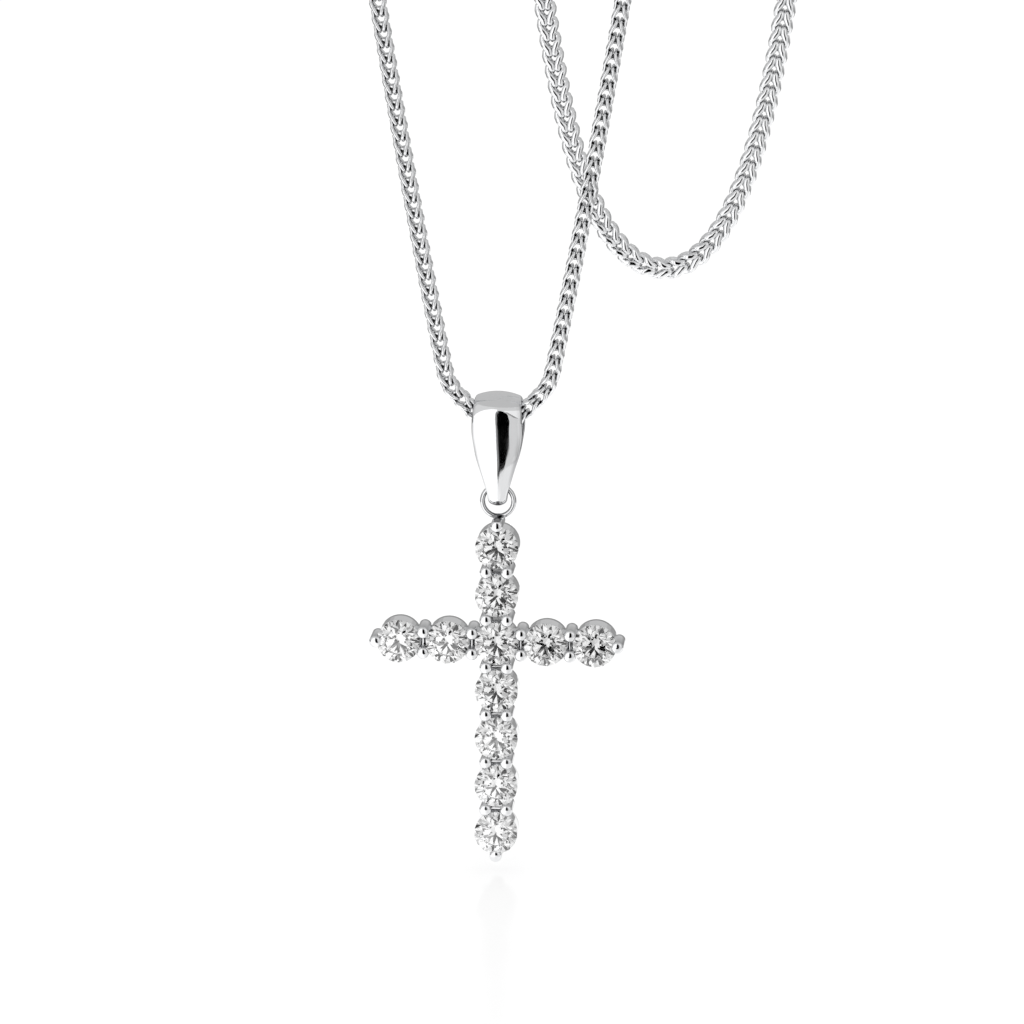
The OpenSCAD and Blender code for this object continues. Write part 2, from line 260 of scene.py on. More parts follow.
@dataclass(frozen=True)
class PolishedGold(Finish):
    """Polished white gold: a bright mirror with faint hairlines from the wheel, and shade painted
    into its colour where its mesh marks it.
    """

    colour: tuple[float, float, float] = (0.9, 0.905, 0.915)
    dull_colour: tuple[float, float, float] = (0.84, 0.845, 0.855)
    roughness: float = 0.035
    hairline: float = 0.05
    # Colour of the shade painted where the mesh's painted-shade share is high
    painted_shade_colour: tuple[float, float, float] = (0.03, 0.03, 0.032)
    # Painted-shade shares between which the polished colour gives way to the painted shade colour
    painted_shade_limits: tuple[float, float] = (0.3, 0.7)
    grain: tuple[float, float, float] = (2600.0, 2600.0, 900.0)
    ripple: float = 0.02
    ripple_depth: float = 0.00002
    # Duller clouds in the polish: grains per metre, where the noise shows and how much it dulls
    cloud_grain: float = 700.0
    cloud_limits: tuple[float, float] = (0.35, 0.75)
    cloud_share: float = 0.5
    # Share of the painted shade that is taken off where the metal looks backward, and where along
    # the normal's backward part that sets in and is full
    backward_shade_cut: float = 0.0
    back_limits: tuple[float, float] = (0.5, 0.85)

    def surface(self, kit: NodeKit) -> bpy.types.Node:
        """Return the node that makes the surface.

        Args:
            kit: Makes the material's nodes.

        Returns:
            The node whose first output is the surface.
        """
        lines = kit.noise(self.grain, 3.0)
        clouds = kit.rising(kit.noise((self.cloud_grain,) * 3, 2.0), self.cloud_limits)
        given = {"Strength": self.ripple, "Distance": self.ripple_depth, "Height": lines}
        bump = kit.node("ShaderNodeBump", {}, given)
        polished = kit.mix_colours(clouds * self.cloud_share, self.colour, self.dull_colour)
        # Shade painted into the base colour where the mesh's painted-shade attribute is high
        depth = kit.node("ShaderNodeAttribute", {"attribute_name": "painted_shade"}).outputs["Fac"]
        shade_share = kit.rising(Value(kit, depth), self.painted_shade_limits)
        if self.backward_shade_cut:
            facing = kit.node("ShaderNodeTexCoord").outputs["Normal"]
            parts = kit.node("ShaderNodeSeparateXYZ", {}, {"Vector": facing})
            backward = kit.rising(Value(kit, parts.outputs["Y"]), self.back_limits)
            shade_share = shade_share * (1 - backward * self.backward_shade_cut)
        given = {
            "Base Color": kit.mix_colours(shade_share, polished, self.painted_shade_colour),
            "Metallic": 1.0,
            "Roughness": self.roughness + lines * clouds * self.hairline,
            "Normal": bump.outputs[0],
        }
        return kit.node("ShaderNodeBsdfPrincipled", {}, given)


@dataclass(frozen=True)
class CutDiamond(Finish):
    """Colourless diamond with polished facets and a trace of cloud inside."""

    colour: tuple[float, float, float] = (1.0, 1.0, 1.0)
    cloud: tuple[float, float, float] = (0.94, 0.95, 0.965)
    ior: float = 2.42
    haze_grain: float = 1800.0
    haze_limits: tuple[float, float] = (0.5, 0.8)

    def surface(self, kit: NodeKit) -> bpy.types.Node:
        """Return the node that makes the surface.

        Args:
            kit: Makes the material's nodes.

        Returns:
            The node whose first output is the surface.
        """
        haze = kit.rising(kit.noise((self.haze_grain,) * 3, 2.0), self.haze_limits)
        given = {
            "Base Color": kit.mix_colours(haze, self.colour, self.cloud),
            "Roughness": 0.0,
            "IOR": self.ior,
            "Transmission Weight": 1.0,
        }
        return kit.node("ShaderNodeBsdfPrincipled", {}, given)


@dataclass(frozen=True)
class PaleTable(Finish):
    """The studio's light table: pale frosted glass, softly lit from below, with a satin top."""

    colour: tuple[float, float, float] = (0.3, 0.3, 0.3)
    glow: float = 0.63
    satin_share: float = 0.04
    roughness: float = 0.2

    def surface(self, kit: NodeKit) -> bpy.types.Node:
        """Return the node that makes the surface.

        Args:
            kit: Makes the material's nodes.

        Returns:
            The node whose first output is the surface.
        """
        matt = kit.node("ShaderNodeBsdfDiffuse", {}, {"Color": (*self.colour, 1.0)})
        satin = kit.node("ShaderNodeBsdfGlossy", {}, {"Color": WHITE, "Roughness": self.roughness})
        lit = kit.node("ShaderNodeEmission", {}, {"Color": WHITE, "Strength": self.glow})
        body = kit.node("ShaderNodeAddShader", {}, {0: matt.outputs[0], 1: lit.outputs[0]})
        ends = {0: self.satin_share, 1: body.outputs[0], 2: satin.outputs[0]}
        return kit.node("ShaderNodeMixShader", {}, ends)


@dataclass(frozen=True)
class CardPaint(Finish):
    """Even grey of a studio card."""

    grey: float

    def surface(self, kit: NodeKit) -> bpy.types.Node:
        """Return the node that makes the surface.

        Args:
            kit: Makes the material's nodes.

        Returns:
            The node whose first output is the surface.
        """
        return kit.node("ShaderNodeEmission", {}, {"Color": (self.grey,) * 3 + (1.0,)})


# Shapes


@dataclass
class Shape:
    """Points and faces of a form, in millimetres."""

    points: np.ndarray
    faces: list[list[int]]
    # Share of shade painted on each point, from 0 to 1, where it is given, such as from its depth
    # in a recess
    painted_shade: Optional[np.ndarray] = None

    def moved(self, offset: Sequence[float]) -> "Shape":
        """Return the shape moved by an offset."""
        return Shape(self.points + np.asarray(offset, float), self.faces, self.painted_shade)

    def turned(self, matrix: np.ndarray) -> "Shape":
        """Return the shape turned by a 3 by 3 matrix."""
        return Shape(self.points @ matrix.T, self.faces, self.painted_shade)

    def triangles(self) -> np.ndarray:
        """Return the faces split into triangles."""
        return np.array([(f[0], f[i], f[i + 1]) for f in self.faces for i in range(1, len(f) - 1)])

    def outward(self) -> "Shape":
        """Return the closed shape with its faces looking outward.

        Returns:
            The shape itself, or one with its faces turned round.
        """
        corners = self.triangles()
        a, b, c = (self.points[corners[:, k]] for k in range(3))
        if np.einsum("ij,ij->i", a, np.cross(b, c)).sum() < 0:
            return Shape(self.points, [list(reversed(f)) for f in self.faces], self.painted_shade)
        return self


def unit(ways: np.ndarray) -> np.ndarray:
    """Return directions made one long."""
    return ways / np.linalg.norm(ways, axis=-1, keepdims=True)


def full_turn(count: int) -> np.ndarray:
    """Return evenly spaced angles once round."""
    return np.linspace(0, 2 * np.pi, count, endpoint=False)


def skin(rings: np.ndarray, closed: bool) -> Shape:
    """Lay quads between rings of points.

    Args:
        rings: The rings, as an array of ring, point and coordinate.
        closed: Whether the last ring meets the first; otherwise both ends get a cap.

    Returns:
        The shape, looking outward.
    """
    count, sides = rings.shape[:2]
    spans = count if closed else count - 1
    ring, side = np.meshgrid(np.arange(spans), np.arange(sides), indexing="ij")
    after, beside = (ring + 1) % count, (side + 1) % sides
    here, there = ring * sides, after * sides
    quads = [here + side, here + beside, there + beside, there + side]
    faces = np.stack(quads, -1).reshape(-1, 4).tolist()
    if not closed:
        faces.append(list(range(sides - 1, -1, -1)))
        faces.append([(count - 1) * sides + k for k in range(sides)])
    return Shape(rings.reshape(-1, 3), faces).outward()


def lathe(profile: Sequence[tuple[float, float]], segments: int) -> Shape:
    """Turn a profile round Z.

    Args:
        profile: Radius and height of its points from below up; the first and last lie on the axis.
        segments: Sides of the turned form.

    Returns:
        The closed shape, looking outward.
    """
    angle = np.arange(segments) * 2 * np.pi / segments
    rows = profile[1:-1]
    points = [(r * math.cos(a), r * math.sin(a), z) for r, z in rows for a in angle]
    points += [(0.0, 0.0, profile[0][1]), (0.0, 0.0, profile[-1][1])]
    low, high = len(points) - 2, len(points) - 1
    top = (len(rows) - 1) * segments
    faces = []
    for k in range(segments):
        n = (k + 1) % segments
        faces += [[low, n, k], [high, top + k, top + n]]
        for row in range(0, top, segments):
            faces.append([row + k, row + n, row + segments + n, row + segments + k])
    return Shape(np.array(points), faces)


def tube(path: np.ndarray, radius: float, sides: int) -> Shape:
    """Sweep a round wire along a closed path.

    Args:
        path: The points of its middle line.
        radius: Half the wire's thickness.
        sides: Sides of its section.

    Returns:
        The closed shape, looking outward.
    """
    way = unit(np.roll(path, -1, 0) - np.roll(path, 1, 0))
    frames = [unit(np.cross(way[0], np.eye(3)[np.argmin(np.abs(way[0]))]))]
    for step in way[1:]:
        frames.append(unit(frames[-1] - step * (frames[-1] @ step)))
    first = np.array(frames)
    second = np.cross(way, first)
    back = frames[-1] - way[0] * (frames[-1] @ way[0])
    miss = math.atan2(back @ second[0], back @ first[0])
    angle = np.arange(sides) * 2 * np.pi / sides - miss * np.arange(len(path))[:, None] / len(path)
    across = first[:, None] * np.cos(angle)[..., None] + second[:, None] * np.sin(angle)[..., None]
    return skin(path[:, None] + radius * across, True)


def smooth_loop(corners: np.ndarray, count: int) -> np.ndarray:
    """Draw a smooth closed curve through points.

    Args:
        corners: The points that it goes through.
        count: Points of the finished curve.

    Returns:
        The curve's points.
    """
    ring = np.vstack([corners[-1:], corners, corners[:2]])
    step = np.sqrt(np.linalg.norm(np.diff(ring, axis=0), axis=1))
    reach = np.concatenate([[0], np.cumsum(step)])
    slope = np.diff(ring, axis=0) / step[:, None]
    a, b = step[:-1, None], step[1:, None]
    tangent = (slope[:-1] * b + slope[1:] * a) / (a + b)
    last = len(corners)
    at = reach[1] + (reach[last + 1] - reach[1]) * np.arange(count) / count
    k = np.clip(np.searchsorted(reach, at, side="right") - 1, 1, last)
    span = (reach[k + 1] - reach[k])[:, None]
    x = (at - reach[k])[:, None] / span
    ease = 3 * x**2 - 2 * x**3
    pull = (x**3 - 2 * x**2 + x) * tangent[k - 1] + (x**3 - x**2) * tangent[k]
    return (1 - ease) * ring[k] + ease * ring[k + 1] + span * pull


# Rays that look for metal: their number, how far they lean out of the surface so that none
# points into it, and how far off it they start, in millimetres
RAYS = 48
RAY_LEAN = 1.001
RAY_LIFT = 0.004


def occlusion_shade(shape: Shape, around: Shape, reach: float) -> np.ndarray:
    """Work out how deep each point of a shape lies in a recess, as the share of shade painted
    there.

    Args:
        shape: The shape.
        around: All the metal round it, itself included.
        reach: How far metal in the way still counts, in millimetres.

    Returns:
        A share from 0, open, to 1, closed in, for each point.
    """
    tree = BVHTree.FromPolygons(around.points.tolist(), around.faces)
    normals = np.zeros_like(shape.points)
    corners = shape.triangles()
    a, b, c = (shape.points[corners[:, k]] for k in range(3))
    faced = np.cross(b - a, c - a)
    for k in range(3):
        np.add.at(normals, corners[:, k], faced)
    normals /= np.maximum(np.linalg.norm(normals, axis=1), 1e-12)[:, None]
    step = np.arange(RAYS) + 0.5
    rise, turn = 1 - 2 * step / RAYS, step * math.pi * (3 - math.sqrt(5))
    flat = np.sqrt(1 - rise**2)
    ball = np.stack([flat * np.cos(turn), flat * np.sin(turn), rise], 1)
    depth = np.zeros(len(shape.points))
    for k, (point, normal) in enumerate(zip(shape.points, normals)):
        start = Vector(point + normal * RAY_LIFT)
        ways = unit(ball + normal * RAY_LEAN)
        hits = (tree.ray_cast(start, Vector(way), reach)[3] for way in ways)
        depth[k] = sum(1 - hit / reach for hit in hits if hit is not None) / RAYS
    return depth


def eased(share: Any) -> Any:
    """Return a share from 0 to 1 with a soft start and end."""
    return share * share * (3 - 2 * share)


def eased_in(value: float, start: float, run: float) -> float:
    """Return a soft rise from 0 to 1 that begins at a start and takes a run."""
    return eased(min(1.0, max(0.0, (value - start) / run)))


def joined(shapes: Iterable[Shape]) -> Shape:
    """Return several shapes as one list of points and faces.

    Args:
        shapes: The shapes, in order.

    Returns:
        One shape that holds them all.
    """
    points: list[np.ndarray] = []
    faces: list[list[int]] = []
    start = 0
    for shape in shapes:
        points.append(shape.points)
        faces += [[start + k for k in f] for f in shape.faces]
        start += len(shape.points)
    return Shape(np.vstack(points), faces)


def fused(first: Shape, steps: Sequence[tuple[Join, Shape]]) -> Shape:
    """Join closed shapes to a first one, or cut them out of it, in order.

    Args:
        first: The closed shape to start from.
        steps: How each further closed shape changes it.

    Returns:
        The finished shape.
    """
    bench = [bench_object("bench", first, 1.0)]
    for join, shape in steps:
        bench.append(bench_object("helper", shape, 1.0))
        modifier = bench[0].modifiers.new("step", "BOOLEAN")
        modifier.solver = "MANIFOLD"
        modifier.operation = join.value
        modifier.object = bench[-1]
    graph = bpy.context.evaluated_depsgraph_get()
    mesh = bpy.data.meshes.new_from_object(bench[0].evaluated_get(graph))
    points = np.empty(len(mesh.vertices) * 3)
    mesh.vertices.foreach_get("co", points)
    faces = [list(p.vertices) for p in mesh.polygons]
    bpy.data.meshes.remove(mesh)
    for helper in bench:
        data = helper.data
        bpy.data.objects.remove(helper)
        bpy.data.meshes.remove(data)
    return Shape(points.reshape(-1, 3), faces)


def bench_object(
    name: str, shape: Shape, scale: float, sharp_deg: float = SHARP_DEG
) -> bpy.types.Object:
    """Make a mesh object of a shape.

    Args:
        name: The object's name.
        shape: Its shape.
        scale: Metres for each of the shape's units.
        sharp_deg: Edges that turn by more than this stay crisp.

    Returns:
        The new object.
    """
    mesh = bpy.data.meshes.new(name)
    mesh.from_pydata((shape.points * scale).tolist(), [], shape.faces)
    mesh.polygons.foreach_set("use_smooth", [True] * len(mesh.polygons))
    mesh.set_sharp_from_angle(angle=math.radians(sharp_deg))
    if shape.painted_shade is not None:
        mesh.attributes.new("painted_shade", "FLOAT", "POINT").data.foreach_set("value", shape.painted_shade)
    made = bpy.data.objects.new(name, mesh)
    bpy.context.scene.collection.objects.link(made)
    return made


def finished_piece(
    name: str,
    shape: Shape,
    material: bpy.types.Material,
    body: Body,
    stands_for: str,
    sharp_deg: float = SHARP_DEG,
) -> None:
    """Make a piece of the jewel that replaces a node.

    Args:
        name: The piece's name.
        shape: Its shape, in millimetres.
        material: Its finish.
        body: The body that it rides on.
        stands_for: The node that it replaces.
        sharp_deg: Edges that turn by more than this stay crisp.
    """
    made = bench_object(name, shape, MM, sharp_deg)
    made.data.materials.append(material)
    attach(made, body.value)
    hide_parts(stands_for)
    LOG.info("%s: %d points, %d faces", name, len(shape.points), len(shape.faces))


# The necklace


@dataclass(frozen=True)
class ChainRoute:
    """Middle line of the whole necklace, from above the clasp round to below it."""

    exit_slope: float = 45.0
    bail_bend_r: float = 1.85
    exit_run: float = 1.3
    shoulder_r: float = 2.6
    leg_spread: float = 18.0
    leg_rise: float = 90.0
    back_lift: float = 6.8
    back_shift: float = 8.3
    back_sag: float = 2.54
    clasp_l: float = 13.0
    clasp_h: float = 46.0
    twist_low: float = 38.0
    twist_high: float = 96.0
    steps: int = 400

    def leg_slope(self) -> float:
        """Return how far the front strand leans just above its shoulder, in degrees."""
        return math.degrees(math.atan(self.leg_spread / self.leg_rise))

    def front_half(self) -> np.ndarray:
        """Draw the right half of the front loop, from the bail to the bar.

        Returns:
            Offsets right and up from the chain in the bail.
        """
        slope, lean = math.radians(self.exit_slope), math.radians(90 - self.leg_slope())
        turn = np.linspace(0, slope, self.steps // 8)
        bend = self.bail_bend_r * np.stack([np.sin(turn), 1 - np.cos(turn)], 1)
        run_end = bend[-1] + self.exit_run * np.array([math.cos(slope), math.sin(slope)])
        turn = np.linspace(slope, lean, self.steps // 8)
        rise = np.stack([np.sin(turn) - math.sin(slope), math.cos(slope) - np.cos(turn)], 1)
        shoulder = run_end + self.shoulder_r * rise
        height = np.linspace(shoulder[-1, 1], HANG_DROP, self.steps)[1:]
        leg = np.stack([self.leg_x(height, shoulder[-1]), height], 1)
        return np.vstack([bend, shoulder, leg])

    def leg_x(self, height: Any, shoulder_end: np.ndarray) -> Any:
        """Return how far the front strand stands from the middle at a height above the bail."""
        rise = (height - shoulder_end[1]) / self.leg_rise
        return shoulder_end[0] + self.leg_spread * np.log(1 + rise)

    def back_turns(self, height: float) -> float:
        """Return the back loop's step, from its lowest point, at a height above that point."""
        return math.acosh(1 + height / self.back_sag)

    def back_strand(self, start: float, stop: float) -> np.ndarray:
        """Return the back loop's points between two steps.

        Args:
            start: The step of the first point, negative to the left.
            stop: The step of the last one.

        Returns:
            The points.
        """
        turn = np.linspace(start, stop, self.steps)
        x = self.back_shift + self.back_sag * turn
        z = -HANG_DROP + self.back_lift + self.back_sag * (np.cosh(turn) - 1)
        return np.stack([x, np.full_like(x, STRAND_Y), z], 1)

    def over_bar(self, side: int, half: np.ndarray) -> tuple[np.ndarray, np.ndarray]:
        """Return the points from front to back over the bar, and the way their outer side faces.

        Args:
            side: -1 for the left strand, 1 for the right one.
            half: The front loop's right half.

        Returns:
            The points, and the direction of the outer side at each.
        """
        share = np.linspace(0, 1, self.steps // 4)
        back_h = HANG_DROP - self.back_lift
        start = side * half[-1, 0]
        stop = self.back_shift + side * self.back_sag * self.back_turns(back_h)
        arc = math.pi * STRAND_Y
        front_slope = (half[-1, 0] - half[-2, 0]) / (half[-1, 1] - half[-2, 1])
        back_slope = self.back_sag / math.sqrt(back_h * (back_h + 2 * self.back_sag))
        pull = (1 - share) * side * front_slope * arc + share * side * back_slope * arc
        x = start + eased(share) * (stop - start) + share * (1 - share) * pull
        angle = np.pi * share
        outer = np.stack([np.zeros_like(angle), -np.cos(angle), np.sin(angle)], 1)
        return np.stack([x, STRAND_Y * outer[:, 1], STRAND_Y * outer[:, 2]], 1), outer

    def build(self) -> tuple[np.ndarray, np.ndarray, np.ndarray, int]:
        """Work out the route.

        Returns:
            Its points, the way the outer side faces at each, the links' twist there in degrees,
            and the number of the point where the front chain hands over to the back one.
        """
        half = self.front_half()
        front = np.vstack([half[:0:-1] * [-1, 1], half])
        front = np.stack([front[:, 0], np.full(len(front), -STRAND_Y), front[:, 1] - HANG_DROP], 1)
        left, left_out = self.over_bar(-1, half)
        right, right_out = self.over_bar(1, half)
        top = self.back_turns(HANG_DROP - self.back_lift)
        high = self.back_turns(self.clasp_h + self.clasp_l / 2)
        low = self.back_turns(self.clasp_h - self.clasp_l / 2)
        parts = [
            (self.back_strand(-high, -top), None),
            (left[-2::-1], left_out[-2::-1]),
            (front[1:-1], None),
            (right, right_out),
            (self.back_strand(top, -low)[1:], None),
        ]
        points = np.vstack([p for p, _ in parts])
        sides = [(0.0, 1.0, 0.0), None, (0.0, -1.0, 0.0), None, (0.0, 1.0, 0.0)]
        outs = [o if o is not None else np.tile(s, (len(p), 1)) for (p, o), s in zip(parts, sides)]
        height = points[:, 2] + HANG_DROP
        share = np.clip((self.twist_high - height) / (self.twist_high - self.twist_low), 0, 1)
        twist = np.where(points[:, 1] < 0, 90 * eased(share), 0.0)
        handover = sum(len(p) for p, _ in parts[:3]) + len(right) // 2
        return points, np.vstack(outs), twist, handover


@dataclass
class LinkChain:
    """Folded wire links, each threaded through the two lobes of the one before."""

    route: ChainRoute = field(default_factory=ChainRoute)
    pitch: float = 0.865
    wire: float = 0.262
    # Shares by which the rolled wire is thinner across the link's face and wider along it
    rolled_thin: float = 0.28
    rolled_wide: float = 0.4
    path_points: int = 36
    wire_sides: int = 8
    sharp_deg: float = 80.0
    # Quarter of a link from its fold to its end bar: along the chain, out of its face, to its side
    quarter: tuple[tuple[float, float, float], ...] = (
        (0.0, 0.0, 0.137),
        (0.004, 0.317, 0.135),
        (0.319, 0.328, 0.171),
        (0.554, 0.363, 0.333),
        (0.825, 0.205, 0.438),
        (1.099, 0.1, 0.348),
        (1.168, 0.147, 0.0),
    )
    # Near-black shade painted in the links' recesses
    finish: PolishedGold = PolishedGold(
        "chain_gold",
        colour=(0.93, 0.935, 0.945),
        painted_shade_colour=(0.02, 0.02, 0.021),
        painted_shade_limits=(0.44, 0.71),
    )

    def link(self) -> Shape:
        """Return one link, along +X from its fold.

        Returns:
            The link, in millimetres.
        """
        q = np.array(self.quarter)
        mirrored = [q, q[-2::-1] * [1, 1, -1], q[1:] * [1, -1, -1], q[-2:0:-1] * [1, -1, 1]]
        path = smooth_loop(np.vstack(mirrored), self.path_points)
        round_wire = tube(path, self.wire / 2, self.wire_sides)
        offset = round_wire.points.reshape(self.path_points, self.wire_sides, 3) - path[:, None]
        way = unit(np.roll(path, -1, 0) - np.roll(path, 1, 0))
        beside = np.cross(way, [0.0, 1.0, 0.0])
        lying = (beside**2).sum(1)[:, None]
        along_face = np.einsum("ijk,ik->ij", offset, beside)
        offset[..., 1] *= 1 - self.rolled_thin * lying
        offset += self.rolled_wide * along_face[..., None] * beside[:, None]
        return Shape((path[:, None] + offset).reshape(-1, 3), round_wire.faces)

    def threaded(self, first: int, last: int, pitch: float, along: Any, places: Any) -> Shape:
        """Thread links on a stretch of the route.

        Args:
            first: Number of the first link.
            last: Number after the last one.
            pitch: Distance from link to link.
            along: Distance of each of the route's points from its start.
            places: Points, face directions and side directions of the route.

        Returns:
            The links as one shape.
        """
        link = self.link()
        near = joined(link.moved((k * pitch, 0, 0)) for k in range(-2, 3))
        # Paint shade into each link where its neighbours in the chain close it in
        link.painted_shade = occlusion_shade(link, near, self.pitch)
        at = np.arange(first, last)[:, None] * pitch + link.points[:, 0]
        point, face, side = (
            np.stack([np.interp(at, along, v[:, k]) for k in range(3)], -1) for v in places
        )
        points = point + unit(face) * link.points[:, 1][:, None]
        points += unit(side) * link.points[:, 2][:, None]
        count = len(link.points)
        painted_shade = np.tile(link.painted_shade, last - first)
        faces = np.array(link.faces)[None] + (np.arange(last - first) * count)[:, None, None]
        return Shape(points.reshape(-1, 3), faces.reshape(-1, 4).tolist(), painted_shade)

    def build(self) -> None:
        """Make the two stretches of chain and dress them."""
        points, outs, twist, handover = self.route.build()
        steps = np.linalg.norm(np.diff(points, axis=0), axis=1)
        along = np.concatenate([[0], np.cumsum(steps)])
        way = unit(np.gradient(points, along, axis=0))
        across = unit(np.cross(way, outs))
        outs = np.cross(across, way)
        turn = np.radians(twist)[:, None]
        face = np.cos(turn) * outs + np.sin(turn) * across
        side = np.cross(way, face)
        count = round(along[-1] / self.pitch)
        pitch = along[-1] / count
        split = round(along[handover] / pitch)
        LOG.info("chain of %.1f mm in %d links", along[-1], count)
        metal = self.finish.material()
        for name, first, last in (("chain_front", 0, split), ("chain_back", split, count)):
            shape = self.threaded(first, last, pitch, along, (points, face, side))
            piece = "links_" + name
            finished_piece(piece, shape, metal, Body.CHAIN, name, self.sharp_deg)


@dataclass
class Clasp:
    """Plain clasp on the back strand: a pierced drop with a ring and an end cap on each side."""

    route: ChainRoute = field(default_factory=ChainRoute)
    width: float = 4.2
    thickness: float = 1.6
    edge: float = 0.5
    hole_edge: float = 0.3
    cap_d: float = 1.5
    cap_l: float = 1.6
    cap_edge: float = 0.18
    eye_d: float = 2.6
    eye_wire: float = 0.5
    hole_share: float = 0.5
    segments: int = 64
    eye_sides: int = 16
    cap_segments: int = 32
    finish: PolishedGold = PolishedGold("clasp_gold", colour=(0.86, 0.865, 0.875))

    def outline(self, low: float, low_r: float, high: float, high_r: float) -> np.ndarray:
        """Return the drop round two circles on the Z axis, as points across and along.

        Args:
            low: Where the lower circle lies.
            low_r: Its radius.
            high: Where the upper circle lies.
            high_r: Its radius.

        Returns:
            The points, anticlockwise.
        """
        lean = math.asin((low_r - high_r) / (high - low))
        turn = np.linspace(lean, math.pi - lean, self.segments // 2)
        upper = np.stack([high_r * np.cos(turn), high + high_r * np.sin(turn)], 1)
        turn = np.linspace(math.pi - lean, 2 * math.pi + lean, self.segments)
        lower = np.stack([low_r * np.cos(turn), low + low_r * np.sin(turn)], 1)
        return np.vstack([upper, lower])

    def plate(self, low: float, low_r: float, high: float, high_r: float, edge: float) -> Shape:
        """Make a plate with rounded edges, or the cutter of a hole whose edges flare.

        Args:
            low: Where the lower circle of its outline lies.
            low_r: That circle's radius.
            high: Where the upper circle lies.
            high_r: That circle's radius.
            edge: The edges' radius, negative for a cutter.

        Returns:
            The plate, its thickness along Y.
        """
        bend = np.linspace(0, math.pi / 2, 8)
        half = self.thickness / 2
        sides = [(half - abs(edge) * (1 - math.sin(a)), edge * (1 - math.cos(a))) for a in bend]
        if edge < 0:
            sides.append((self.thickness, edge))
        rings = []
        for y, inset in [(-y, inset) for y, inset in reversed(sides)] + sides:
            drop = self.outline(low, low_r - inset, high, high_r - inset)
            rings.append(np.stack([drop[:, 0], np.full(len(drop), y), drop[:, 1]], 1))
        return skin(np.array(rings), False)

    def build(self) -> None:
        """Make the clasp between the chain's two ends and dress it."""
        route = self.route
        low, high = (
            route.back_strand(-route.back_turns(route.clasp_h + s * route.clasp_l / 2), 0)[0]
            for s in (-1, 1)
        )
        length = float(np.linalg.norm(high - low))
        lap = self.eye_wire * 0.6
        body_l = length - 2 * (self.cap_l + self.eye_d - 2 * lap)
        wide, narrow = self.width / 2, self.width / 4
        body = self.plate(wide - body_l / 2, wide, body_l / 2 - narrow, narrow, self.edge)
        share = self.hole_share
        low_z, high_z = wide - body_l / 2, body_l / 2 - narrow * 2
        hole = self.plate(low_z, wide * share, high_z, narrow * share, -self.hole_edge)
        shape = fused(body, [(Join.CUT, hole)])
        turn = full_turn(self.segments)
        eye_r = (self.eye_d - self.eye_wire) / 2
        ring = eye_r * np.stack([np.cos(turn), 0 * turn, np.sin(turn)], 1)
        eye = tube(ring, self.eye_wire / 2, self.eye_sides)
        r, half, e = self.cap_d / 2, self.cap_l / 2, self.cap_edge
        profile = [(0, -half), (r - e, -half), (r - e * 0.3, -half + e * 0.3), (r, -half + e)]
        cap = lathe(profile + [(p, -z) for p, z in reversed(profile)], self.cap_segments)
        added = []
        eye_z = length / 2 - self.cap_l + lap - self.eye_d / 2
        for end in (-1, 1):
            added.append((Join.ADD, eye.moved((0, 0, end * eye_z))))
            added.append((Join.ADD, cap.moved((0, 0, end * (length - self.cap_l) / 2))))
        shape = fused(shape, added)
        lean = math.atan((high[0] - low[0]) / (high[2] - low[2]))
        turned = np.array(Matrix.Rotation(lean, 3, "Y"))
        shape = shape.turned(turned).moved((low + high) / 2)
        finished_piece("clasp_drop", shape, self.finish.material(), Body.CHAIN, "clasp")


# The pendant


